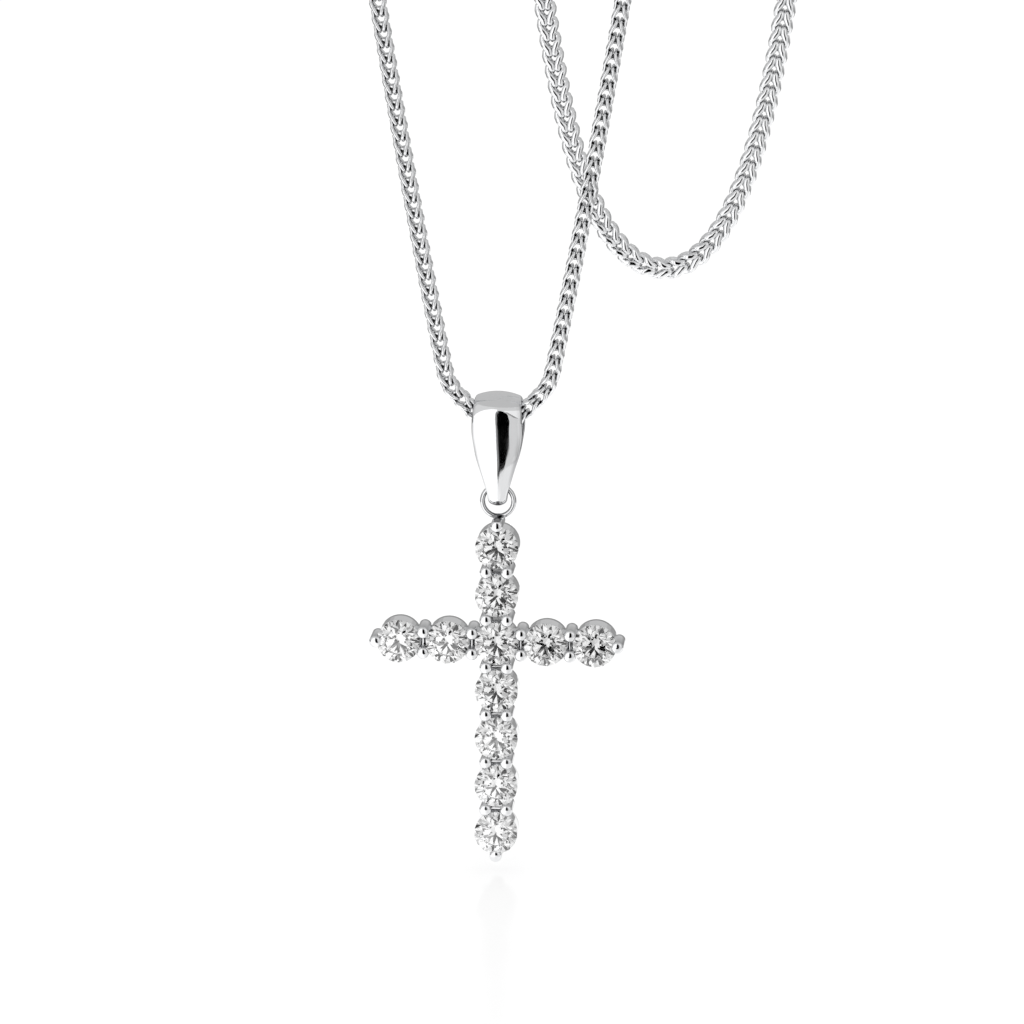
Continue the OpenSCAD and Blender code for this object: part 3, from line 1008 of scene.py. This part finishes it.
@dataclass
class Bail:
    """One tapered band swept round a drop-shaped loop, its front crowned and its foot rounded."""

    height: float = 6.4
    width: float = 2.86
    depth: float = 2.8
    wall: float = 0.45
    tip_wall: float = 0.86
    chain_w: float = 1.1
    chain_play: float = 0.7
    tip_r: float = 0.25
    width_shares: tuple[float, ...] = (0.9, 0.945, 0.965, 0.96, 0.885, 0.79, 0.69, 0.61, 0.47)
    crown_r: float = 3.2
    foot_crown_r: float = 0.9
    edge_r: float = 0.17
    cap_edge_r: float = 0.26
    foot_edge_r: float = 0.3
    inner_edge_r: float = 0.07
    foot_taper: float = 0.62
    # Degrees that it leans over to the right at its top, about its upper bend
    lean: float = 0.3
    bend_steps: int = 64
    wall_steps: int = 24
    foot_steps: int = 48
    sharp_deg: float = 60.0
    # Widths of the shade painted along the left and right edges, and its shares there and under the
    # foot
    edge_shade_w: tuple[float, float] = (0.22, 0.3)
    edge_shade: tuple[float, float] = (0.95, 1.0)
    foot_shade: float = 0.7
    # Start and run, as shares of the way down, of the foot's round form, of the shade painted under
    # it and of the painted edge shade's full depth
    foot_round: tuple[float, float] = (0.55, 0.45)
    foot_dark: tuple[float, float] = (0.955, 0.03)
    rim_full: tuple[float, float] = (0.3, 0.3)
    # Points of the section's face, its outer edge and its inner edge and flat
    face_steps: int = 14
    edge_steps: int = 7
    inner_steps: int = 6
    # Mid-grey shade painted along the edges and under the foot
    finish: PolishedGold = PolishedGold(
        "bail_gold", ripple=0.0, painted_shade_colour=(0.33, 0.33, 0.34), painted_shade_limits=(0.0, 1.0)
    )

    def half_width(self, down: float) -> float:
        """Return half the band's width at a share of the way down.

        Args:
            down: The share, from 0 at the top to 1.

        Returns:
            Half the width, in millimetres.
        """
        shares = self.width_shares
        last = len(shares) - 1
        i = min(max(int(down * last), 0), last - 1)
        t = down * last - i
        a, b, c, d = (shares[min(max(i + k, 0), last)] for k in (-1, 0, 1, 2))
        curve = b + t * (c - a) / 2 + t**2 * (a - 2.5 * b + 2 * c - d / 2)
        return self.width / 2 * (curve + t**3 * (1.5 * (b - c) + (d - a) / 2))

    def section(self, half: float, wall: float, foot: float, cap: float) -> np.ndarray:
        """Draw the band's section.

        Args:
            half: Half its width.
            wall: Its thickness.
            foot: Share of the foot's rounder form in it.
            cap: Share of the upper bend's softer edges in it.

        Returns:
            Points across and out from the inner face.
        """
        crown = self.crown_r + (self.foot_crown_r - self.crown_r) * foot
        edge = self.edge_r + (self.foot_edge_r - self.edge_r) * foot
        edge += (self.cap_edge_r - self.edge_r) * cap
        inner = self.inner_edge_r * (1 + foot)
        lift = wall - crown + math.sqrt((crown - edge) ** 2 - (half - edge) ** 2)
        lean = math.asin((half - edge) / (crown - edge))
        top = np.linspace(-lean, 0, self.face_steps, endpoint=False)
        face = np.stack([crown * np.sin(top), wall - crown + crown * np.cos(top)], 1)
        side = np.linspace(-math.pi / 2, -lean, self.edge_steps, endpoint=False)
        round_edge = np.stack([edge - half + edge * np.sin(side), lift + edge * np.cos(side)], 1)
        back = np.linspace(-math.pi, -math.pi / 2, self.inner_steps)
        bend = np.stack([inner - half + inner * np.sin(back), inner + inner * np.cos(back)], 1)
        flat = np.linspace(0, inner - half, self.inner_steps, endpoint=False)[1:]
        left = np.vstack([np.stack([flat, 0 * flat], 1), bend, round_edge, face])
        middle = np.array([[0.0, wall]])
        return np.vstack([[[0.0, 0.0]], left, middle, left[::-1] * [-1, 1]])

    def build(self) -> None:
        """Make the band and dress it."""
        top = self.chain_w / 2 + self.chain_play + self.wall
        foot = top - self.height
        bend_r, bend_z = self.depth / 2 - self.wall, top - self.depth / 2
        tip_z = foot + self.tip_wall + self.tip_r
        slope = math.asin((bend_r - self.tip_r) / (bend_z - tip_z))
        reach = bend_r - bend_z * math.sin(slope)
        foot_r = (reach + self.wall + foot * math.sin(slope)) / (1 - math.sin(slope))
        stations = [
            (a, 0.0) for a in np.linspace(-slope, math.pi + slope, self.bend_steps, endpoint=False)
        ]
        down = np.linspace(0, 1, self.wall_steps, endpoint=False)
        stations += [(math.pi + slope, s) for s in down]
        turn = np.linspace(math.pi + slope, 2 * math.pi - slope, self.foot_steps, endpoint=False)
        stations += [(a, 1.0) for a in turn]
        stations += [(2 * math.pi - slope, 1 - s) for s in down]
        rings, shades = [], []
        for angle, share in stations:
            way = np.array([math.cos(angle), math.sin(angle)])
            outer_r = bend_r + self.wall + (foot_r - bend_r - self.wall) * share
            outer = outer_r * way + [0, bend_z + (foot + foot_r - bend_z) * share]
            inner_r = bend_r + (self.tip_r - bend_r) * share
            inner = inner_r * way + [0, bend_z + (tip_z - bend_z) * share]
            wall = float(np.linalg.norm(outer - inner))
            out = (outer - inner) / wall
            low = (top - outer[1]) / self.height
            round_share = eased_in(low, *self.foot_round)
            cap_share = max(0.0, way[1]) ** 2 * (1 - share)
            shape = self.section(self.half_width(low), wall, round_share, cap_share)
            narrow = 1 - round_share * self.foot_taper * (1 - shape[:, 1] / wall)
            place = inner + shape[:, 1:] * out
            rings.append(np.stack([shape[:, 0] * narrow, place[:, 0], place[:, 1]], 1))
            # Shade painted along the edges, wider at the right and lighter near the top, and under
            # the foot
            inside = self.half_width(low) - np.abs(shape[:, 0])
            widths = zip(self.edge_shade_w, self.edge_shade)
            edge = [k * np.clip(1 - inside / w, 0, 1) for w, k in widths]
            under = self.foot_shade * eased_in(low, *self.foot_dark)
            rim = np.where(shape[:, 0] < 0, *edge) * (1 - cap_share)
            rim *= 0.5 + 0.5 * eased_in(low, *self.rim_full)
            shades.append(np.maximum(rim, under))
        lean = np.array(Matrix.Rotation(math.radians(self.lean), 3, "Y"))
        shape = skin(np.array(rings), True).moved((0, 0, -bend_z)).turned(lean)
        shape = shape.moved((0, 0, bend_z)).moved(IN_BAIL)
        shape.painted_shade = np.concatenate(shades)
        metal = self.finish.material()
        finished_piece("bail_band", shape, metal, Body.BAIL, "bail", self.sharp_deg)


@dataclass
class CrossSetting:
    """The soldered cross: collets, bridges and domed prongs, its stem and its top ring."""

    stone_d: float = 2.4
    stone_gap: float = 0.3
    table_share: float = 0.57
    crown_share: float = 0.15
    pavilion_share: float = 0.43
    girdle_share: float = 0.03
    prong_d: float = 0.68
    prong_rise: float = 0.38
    dome_share: float = 0.55
    prong_grip: float = 0.07
    end_grip: float = 0.28
    depth: float = 1.45
    collet_inset: float = 0.03
    collet_edge: float = 0.05
    prong_edge: float = 0.03
    rim_drop: float = 0.2
    back_hole_d: float = 1.5
    bridge_w: float = 1.1
    bridge_drop: float = 0.26
    # The bridge's rounded front: half its width along the arm and how far it falls away
    ridge_half: float = 0.3
    ridge_fall: float = 0.12
    # Painted shade: how far it reaches forward from the back edges, and its share on each part
    back_shade_reach: float = 0.4
    back_shade: float = 0.95
    dome_shade: float = 0.45
    dome_fade: float = 0.08
    dome_front: float = 0.1
    stem_shade: float = 0.92
    ring_inner_shade: float = 0.9
    ring_outer_shade: float = 0.45
    seat_gap: float = 0.03
    ring_inner_d: float = 1.44
    ring_wire: float = 0.28
    ring_top: float = -3.59
    stem_h: float = 0.34
    stem_w: float = 0.66
    girdle_forward: float = 0.85
    places: tuple[tuple[int, int], ...] = (
        (-2, 0), (-1, 0), (0, 0), (1, 0), (2, 0), (0, 2), (0, 1), (0, -1), (0, -2), (0, -3), (0, -4)
    )
    arm_ends: tuple[tuple[int, int], ...] = ((-2, 0), (2, 0), (0, 2), (0, -4))
    segments: int = 64
    prong_segments: int = 40
    ring_segments: int = 96
    ring_sides: int = 24
    stem_rings: int = 13
    sharp_deg: float = 32.0
    # How much the stem is waisted, widens and thins towards the ring, and how square it is
    stem_waist: float = 0.15
    stem_flare: float = 0.3
    stem_thin: float = 0.35
    stem_square: float = 0.6
    # Dark painted shade, mostly taken off faces that look backward
    finish: PolishedGold = PolishedGold(
        "setting_gold",
        colour=(0.88, 0.885, 0.895),
        painted_shade_colour=(0.12, 0.12, 0.125),
        painted_shade_limits=(0.0, 1.0),
        backward_shade_cut=0.9,
    )

    def pitch(self) -> float:
        """Return the distance from stone to stone."""
        return self.stone_d + self.stone_gap

    def ring_z(self) -> float:
        """Return the height of the ring's middle, from the chain in the bail."""
        return self.ring_top - (self.ring_inner_d + self.ring_wire) / 2

    def top_prong_z(self) -> float:
        """Return the height of the top prong's axis, from the chain in the bail."""
        return self.ring_z() - (self.ring_inner_d + self.ring_wire) / 2 - self.stem_h

    def end_reach(self) -> float:
        """Return how far an end prong stands from its stone's middle."""
        return (self.stone_d + self.prong_d) / 2 - self.end_grip

    def middle(self) -> np.ndarray:
        """Return the place of the middle stone's girdle in the row frame."""
        z = self.top_prong_z() - self.end_reach() - 2 * self.pitch()
        return IN_BAIL + np.array([0.0, -self.girdle_forward, z])

    def collet(self) -> Shape:
        """Return one collet, its rim and its back edge softly broken.

        Returns:
            The collet, its girdle at the origin.
        """
        r, e = self.stone_d / 2 - self.collet_inset, self.collet_edge
        profile = [(0, -self.depth), (r - e, -self.depth), (r - 0.3 * e, -self.depth + 0.3 * e)]
        profile += [(r, -self.depth + e), (r, -self.depth + self.back_shade_reach)]
        profile += [(r, -self.rim_drop - e), (r - e, -self.rim_drop)]
        return lathe(profile + [(0, -self.rim_drop)], self.segments)

    def prong(self) -> Shape:
        """Return one post with a domed tip.

        Returns:
            The post, its girdle height at the origin.
        """
        r = self.prong_d / 2
        dome = r * self.dome_share
        turn = np.linspace(0, math.pi / 2, 12)
        tip = [(r * math.cos(a), self.prong_rise - dome * (1 - math.sin(a))) for a in turn]
        shade_end = (r, self.back_shade_reach - self.depth)
        e = self.prong_edge
        foot = [(0, -self.depth), (r - e, -self.depth), (r, e - self.depth), shade_end]
        return lathe(foot + tip, self.prong_segments)

    def seat(self) -> Shape:
        """Return the room that one stone takes out of the metal, with the open hole behind it.

        Returns:
            The closed cutter, its girdle at the origin.
        """
        r, gap = self.stone_d / 2, self.seat_gap
        girdle = self.stone_d * self.girdle_share / 2
        table_r = r * self.table_share
        crown_h = self.stone_d * self.crown_share
        star_r = (table_r * math.cos(math.radians(22.5)) + r) / 2
        star_z = crown_h * (r - star_r * math.cos(math.radians(22.5))) / (r - table_r)
        hole_r = self.back_hole_d / 2
        hole_z = -girdle - self.stone_d * self.pavilion_share * (1 - hole_r / r) - 2 * gap
        back = -self.depth - self.prong_d
        profile = [(0, back), (hole_r, back), (hole_r, hole_z), (r + gap, -girdle - gap)]
        profile += [(r + gap, girdle + gap), (star_r + gap, girdle + star_z + gap)]
        profile += [(table_r + gap, girdle + crown_h + gap), (0, girdle + crown_h + gap)]
        return lathe(profile, self.segments)

    def bridge(self, upright: bool) -> Shape:
        """Return one bar between two collets, along X or upright, its front a rounded ridge.

        Args:
            upright: Whether it joins two collets of the upright.

        Returns:
            The bar, its middle at the origin.
        """
        reach = (self.pitch() - self.stone_d + 2 * self.collet_inset + self.prong_d) / 2
        half = self.bridge_w / 2
        rings = []
        for x in [-reach, *np.linspace(-self.ridge_half, self.ridge_half, 15), reach]:
            fall = min(1.0, abs(x) / self.ridge_half) ** 2 * self.ridge_fall
            front = -self.bridge_drop - fall
            ring = [(-half, -self.depth), (half, -self.depth), (half, front), (-half, front)]
            rings.append([(y, x, z) if upright else (x, y, z) for y, z in ring])
        return skin(np.array(rings), False)

    def shading(self, points: np.ndarray) -> np.ndarray:
        """Work out where shade is painted into the metal: at the back edges, round the domes' feet,
        on the stem and in the ring.

        Args:
            points: Points of the metal as the cross is drawn.

        Returns:
            A share from 0 to 1 for each point.
        """
        behind = -points[:, 2] - self.depth + self.back_shade_reach
        shade = self.back_shade * np.clip(behind / self.back_shade_reach, 0, 1)
        foot = self.prong_rise - self.prong_d / 2 * self.dome_share
        fade = np.clip((foot + self.dome_fade - points[:, 2]) / self.dome_fade, 0, 1)
        shade += self.dome_shade * fade * (points[:, 2] > self.dome_front)
        centre = np.array(self.laid((0, self.ring_z())))
        out = points - centre
        flat = np.hypot(out[:, 0], out[:, 1])
        away = (flat - (self.ring_inner_d + self.ring_wire) / 2) / (self.ring_wire / 2)
        on_ring = (np.abs(away) < 1.02) & (np.abs(out[:, 2]) < 0.51 * self.ring_wire)
        low = eased(np.clip(0.5 - out[:, 1] / np.maximum(flat, 1e-6) * 0.7, 0, 1))
        inner = self.ring_inner_shade * np.clip(-away, 0, 1) ** 1.5 * (0.25 + 0.75 * low)
        outer = self.ring_outer_shade * np.clip(away, 0, 1) ** 2
        top_prong = self.laid((0, self.top_prong_z()))[1] + self.prong_d / 2
        stem = (points[:, 1] > top_prong - 0.05) & ~on_ring
        return np.where(on_ring, inner + outer, np.where(stem, self.stem_shade, shade))

    def ring(self) -> Shape:
        """Return the wire ring, in place above the cross as the cross is drawn.

        Returns:
            The ring.
        """
        turn = full_turn(self.ring_segments)
        r = (self.ring_inner_d + self.ring_wire) / 2
        path = np.stack([r * np.cos(turn), r * np.sin(turn), 0 * turn], 1)
        return tube(path, self.ring_wire / 2, self.ring_sides).moved(self.laid((0, self.ring_z())))

    def laid(self, above: Sequence[float]) -> tuple[float, float, float]:
        """Return a place in the ring's plane as the cross is drawn, from its height in the bail."""
        middle_z = float(self.middle()[2] - IN_BAIL[2])
        return (above[0], above[1] - middle_z, -self.girdle_forward)

    def stem(self) -> Shape:
        """Return the stem from the top prong up to the ring, rounded and slightly waisted.

        Returns:
            The stem, in place.
        """
        top = self.ring_z() - self.ring_inner_d / 2 - self.ring_wire / 8
        foot = self.top_prong_z()
        rings = []
        turn = full_turn(self.prong_segments)
        cos, sin = np.cos(turn), np.sin(turn)
        for share in np.linspace(0, 1, self.stem_rings):
            half = self.stem_w / 2 * (1 - self.stem_waist * math.sin(math.pi * share))
            wide = half * (1 + self.stem_flare * share**3)
            x = wide * np.sign(cos) * np.abs(cos) ** self.stem_square
            deep = half * (1 - self.stem_thin * share**2)
            z = deep * np.sign(sin) * np.abs(sin) ** self.stem_square
            y = np.full_like(x, foot + (top - foot) * share)
            rings.append(np.stack([x, y, z], 1) + np.array(self.laid((0, 0))))
        return skin(np.array(rings), False)

    def build(self) -> None:
        """Make the setting and dress it."""
        pitch = self.pitch()
        reach = self.stone_d / 2 + self.prong_d / 2 - self.prong_grip
        across = math.sqrt(reach**2 - pitch**2 / 4)
        rows = [(k, False) for k in (-1.5, -0.5, 0.5, 1.5)]
        rows += [(k, True) for k in (-3.5, -2.5, -1.5, -0.5, 0.5, 1.5)]
        posts, bars = [], []
        for k, upright in rows:
            place = (0, pitch * k, 0) if upright else (pitch * k, 0, 0)
            bars.append(self.bridge(upright).moved(place))
            for s in (-across, across):
                posts.append((s, pitch * k) if upright else (pitch * k, s))
        for x, y in self.arm_ends:
            out = 1 + self.end_reach() / (pitch * math.hypot(x, y))
            posts.append((pitch * x * out, pitch * y * out))
        collets = joined(self.collet().moved((pitch * x, pitch * y, 0)) for x, y in self.places)
        seats = joined(self.seat().moved((pitch * x, pitch * y, 0)) for x, y in self.places)
        shape = fused(
            collets,
            [
                (Join.ADD, joined(bars)),
                (Join.ADD, joined(self.prong().moved((x, y, 0)) for x, y in posts)),
                (Join.CUT, seats),
                (Join.ADD, self.ring()),
                (Join.ADD, self.stem()),
            ],
        )
        # Paint shade at the back edges, round the domes' feet, on the stem and in the ring
        shape.painted_shade = self.shading(shape.points)
        shape = shape.turned(np.array(Matrix.Rotation(math.pi / 2, 3, "X"))).moved(self.middle())
        metal, node = self.finish.material(), "cross_setting"
        finished_piece("cross_metal", shape, metal, Body.CROSS, node, self.sharp_deg)


@dataclass
class Brilliants:
    """The eleven round brilliants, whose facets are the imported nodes' own."""

    count: int = 11
    finish: CutDiamond = CutDiamond("brilliant_diamond")

    def build(self) -> None:
        """Dress the stones."""
        material = self.finish.material()
        for number in range(1, self.count + 1):
            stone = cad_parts[f"stone_{number:02d}"]
            if not stone.data.materials:
                stone.data.materials.append(material)
            for place in range(len(stone.material_slots)):
                stone.material_slots[place].material = material
        LOG.info("brilliants: %d stones", self.count)


# The studio

# One row of a card, seen from the bail: how far off it is, how high in degrees or None where it
# lies on the table, and the azimuths of its left and right ends
CardRow = tuple[float, Optional[float], float, float]

# Each card's name, how bright it is, how many cards lie below it on the table, and its rows from
# its near end upward. They stand for the white tent, the black strip and the room round them.
CARDS: tuple[tuple[str, float, int, tuple[CardRow, ...]], ...] = (
    ("dark_card", 0.0, 3, (
        (32.55, None, -3.1, -2.7), (33.35, None, -3.2, -1.6), (33.95, None, -3.3, -0.7),
        (34.00, None, -2.3, 9.6), (34.65, None, -0.9, 11.2), (35.25, None, -0.7, 12.3),
        (35.85, None, -1.2, 12.8), (36.65, None, -1.8, 14.6), (37.25, None, -2.3, 16.5),
        (37.85, None, -2.8, 18.5), (38.25, None, -2.9, 19.8), (38.90, None, -3.3, 21.2),
        (40.25, None, -3.6, 21.9), (53, None, -3.8, 21.6), (190, None, -3.3, 20.7),
        (400, None, -3.4, 20.1), (400, 7, -3.4, 19.0), (400, 16.5, -3.7, 19.0),
        (400, 25.5, -3.9, 17.0), (400, 31, -3.7, 13.0), (400, 34.5, -3.3, 9.5),
        (400, 37.5, -1.0, 4.5),
    )),
    ("veil_card", 0.25, 2, (
        (33.55, None, -5.3, 1.1), (34.65, None, -4.8, 1.1), (35.85, None, -5.1, 1.0),
        (37.25, None, -6.2, 0.9), (38.90, None, -7.1, 0.7), (400, None, -7.0, 0.6),
        (400, 25.5, -7.4, 0.6), (400, 34.5, -6.0, 0.5),
    )),
    ("strip_card", 0.3, 2, (
        (405, 3, 36.0, 39.5), (405, 7.4, 29.7, 35.2), (405, 21, 21.0, 26.5), (405, 32, 14.5, 18.5),
    )),
    ("brow_card", 0.92, 2, (
        (410, 3, 38.5, 60.5), (410, 7, 31.7, 60.7), (410, 21, 23.5, 60.5), (410, 32, 15.5, 60.5),
        (410, 39, 10.5, 60.5),
    )),
    ("line_card", 0.82, 2, (
        (35.75, None, 26.0, 35.0), (37.75, None, 27.8, 36.8), (39.25, None, 28.7, 38.7),
        (40.75, None, 36.6, 46.6), (43, None, 40.6, 50.6), (50, None, 38.6, 50.6),
        (410, None, 36.6, 46.6), (410, 3, 37.5, 46.5),
    )),
    ("soft_card", 0.685, 1, (
        (34.00, None, -3.9, 70), (40, None, -4.4, 70), (420, None, -5, 70), (420, 44, -5, 70),
    )),
    ("band_card", 0.68, 0, ((420, 44, -60, 70), (420, 53.5, -60, 70))),
    ("wing_card", 0.72, 0, (
        (415, 9, -80, -52), (415, 20, -80, -48), (415, 30, -80, -43), (415, 38, -80, -35),
        (415, 44, -80, -20), (415, 53.5, -80, -10),
    )),
    ("near_card", 0.85, 0, ((4, None, -3.9, 60), (34.00, None, -3.6, 60))),
    ("step_card", 0.97, 1, ((4, None, -4.1, 16), (31.2, None, -3.8, 9), (33, None, -3.7, -3.2))),
    ("bright_card", 1.25, 0, (
        (4, None, -60, -3.9), (34.00, None, -60, -3.6), (420, None, -60, -4.2),
    )),
    ("low_back_card", 0.34, 0, ((70, None, 70, 300), (890, None, 70, 300), (890, 3, 70, 300))),
    ("mid_back_card", 0.46, 0, ((895, 3, 70, 300), (895, 9, 70, 300))),
    ("back_card", 0.56, 0, ((900, 9, 70, 300), (900, 53.5, 70, 300))),
    ("ceiling_card", 0.552, 0, ((900, 53.5, -180, 180), (1, 89.959, -180, 180))),
)


@dataclass
class Studio:
    """Pale table, even light, reflection cards and the camera."""

    azimuth: float = 5.0
    elevation: float = 13.8
    roll: float = 0.2
    distance: float = 450.0
    lens: float = 288.3
    # Where the middle stone lies from the picture's middle, to the right and up, in millimetres
    aim: tuple[float, float] = (0.83, 7.23)
    daylight: float = 1.22
    # A soft low light from behind, which only falls on the table
    back_light: float = 2.5
    back_light_rise: float = 17.0
    back_light_angle: float = 6.0
    table_r: float = 4000.0
    table_t: float = 20.0
    foot_gap: float = 0.65
    # Degrees that the near rows of the cards dip for each degree to the right, as the bail leans
    tilt: float = 0.0058
    tilt_reach: float = 60.0
    tilt_pivot: float = -5.0
    card_columns: int = 33
    # Height from card to card on the table, in millimetres
    card_step: float = 0.05
    sensor_width: float = 36.0
    clip: tuple[float, float] = (0.01, 20.0)

    def direction(self, azimuth: float, elevation: float) -> np.ndarray:
        """Return the unit vector towards an azimuth and elevation in degrees."""
        a, e = math.radians(azimuth), math.radians(elevation)
        return np.array([math.sin(a) * math.cos(e), -math.cos(a) * math.cos(e), math.sin(e)])

    def camera(self, middle: np.ndarray) -> None:
        """Set up the camera.

        Args:
            middle: The middle stone's place, in millimetres.
        """
        back = self.direction(self.azimuth, self.elevation)
        right = unit(np.cross([0.0, 0.0, 1.0], back))
        up = np.cross(back, right)
        target = middle + right * self.aim[0] + up * self.aim[1]
        data = bpy.data.cameras.new("studio_camera")
        data.lens = self.lens
        data.sensor_width = self.sensor_width
        data.clip_start, data.clip_end = self.clip
        made = bpy.data.objects.new("studio_camera", data)
        bpy.context.scene.collection.objects.link(made)
        turn = Matrix.Rotation(math.radians(self.roll), 3, Vector(back))
        axes = [turn @ Vector(v) for v in (right, up, back)]
        made.matrix_world = Matrix.Translation(Vector((target + back * self.distance) * MM)) @ (
            Matrix(axes).transposed().to_4x4()
        )
        bpy.context.scene.camera = made

    def table(self) -> None:
        """Lay the pale table under the cross."""
        profile = [(0, -self.table_t), (self.table_r, -self.table_t), (self.table_r, 0), (0, 0)]
        shape = lathe(profile, 128).moved((0, 0, FOOT_Z - self.foot_gap))
        made = bench_object("studio_table", shape, MM)
        made.data.materials.append(PaleTable("table_white").material())

    def card(self, name: str, grey: float, layer: int, rows: Sequence[CardRow]) -> None:
        """Hang a card that only shows in the polished pieces.

        Args:
            name: Its name.
            grey: How bright it is.
            layer: How many cards lie below it on the table.
            rows: Its rows, from its near end upward.
        """
        columns = self.card_columns
        spots = []
        for reach, rise, left, right in rows:
            if rise is None:
                height = FOOT_Z - self.foot_gap + self.card_step * (layer + 1)
            else:
                height = IN_BAIL[2] + reach * math.tan(math.radians(rise))
            for azimuth in np.linspace(left, right, columns):
                way = self.direction(azimuth, 0.0)
                off = reach
                if rise is None and reach < self.tilt_reach:
                    dip = math.atan2(IN_BAIL[2] - height, reach)
                    dip += math.radians(self.tilt * (azimuth - self.tilt_pivot))
                    off = (IN_BAIL[2] - height) / math.tan(dip)
                spots.append([IN_BAIL[0] + off * way[0], IN_BAIL[1] + off * way[1], height])
        faces = [
            [i * columns + k, i * columns + k + 1, (i + 1) * columns + k + 1, (i + 1) * columns + k]
            for i in range(len(rows) - 1)
            for k in range(columns - 1)
        ]
        made = bench_object(name, Shape(np.array(spots), faces), MM)
        made.data.materials.append(CardPaint(name + "_paint", grey).material())
        made.visible_camera = made.visible_diffuse = made.visible_shadow = False

    def light(self) -> None:
        """Light the studio evenly from all round."""
        world = bpy.data.worlds.new("studio_light")
        bpy.context.scene.world = world
        world.use_nodes = True
        kit = NodeKit(world.node_tree)
        made = kit.node("ShaderNodeBackground", {}, {"Color": WHITE, "Strength": self.daylight})
        kit.node("ShaderNodeOutputWorld", {}, {"Surface": made.outputs[0]})
        data = bpy.data.lights.new("studio_back_light", "SUN")
        data.energy = self.back_light
        data.angle = math.radians(self.back_light_angle)
        lamp = bpy.data.objects.new("studio_back_light", data)
        bpy.context.scene.collection.objects.link(lamp)
        towards = Vector(self.direction(self.azimuth + 180, self.back_light_rise))
        lamp.rotation_euler = towards.to_track_quat("Z", "Y").to_euler()
        lamp.visible_glossy = lamp.visible_transmission = False
        bpy.context.scene.view_settings.view_transform = "Standard"

    def build(self, middle: np.ndarray) -> None:
        """Set up the whole studio round the pendant.

        Args:
            middle: The middle stone's place, in millimetres.
        """
        self.camera(middle)
        self.table()
        for card in CARDS:
            self.card(*card)
        self.light()
        LOG.info("studio is set up")


def main() -> None:
    """Build the pieces and the studio in order."""
    logging.basicConfig(level=logging.INFO, format="%(name)s: %(message)s")
    setting = CrossSetting()
    LinkChain().build()
    Clasp().build()
    Bail().build()
    setting.build()
    Brilliants().build()
    Studio().build(setting.middle())


if __name__ == "__main__":
    main()
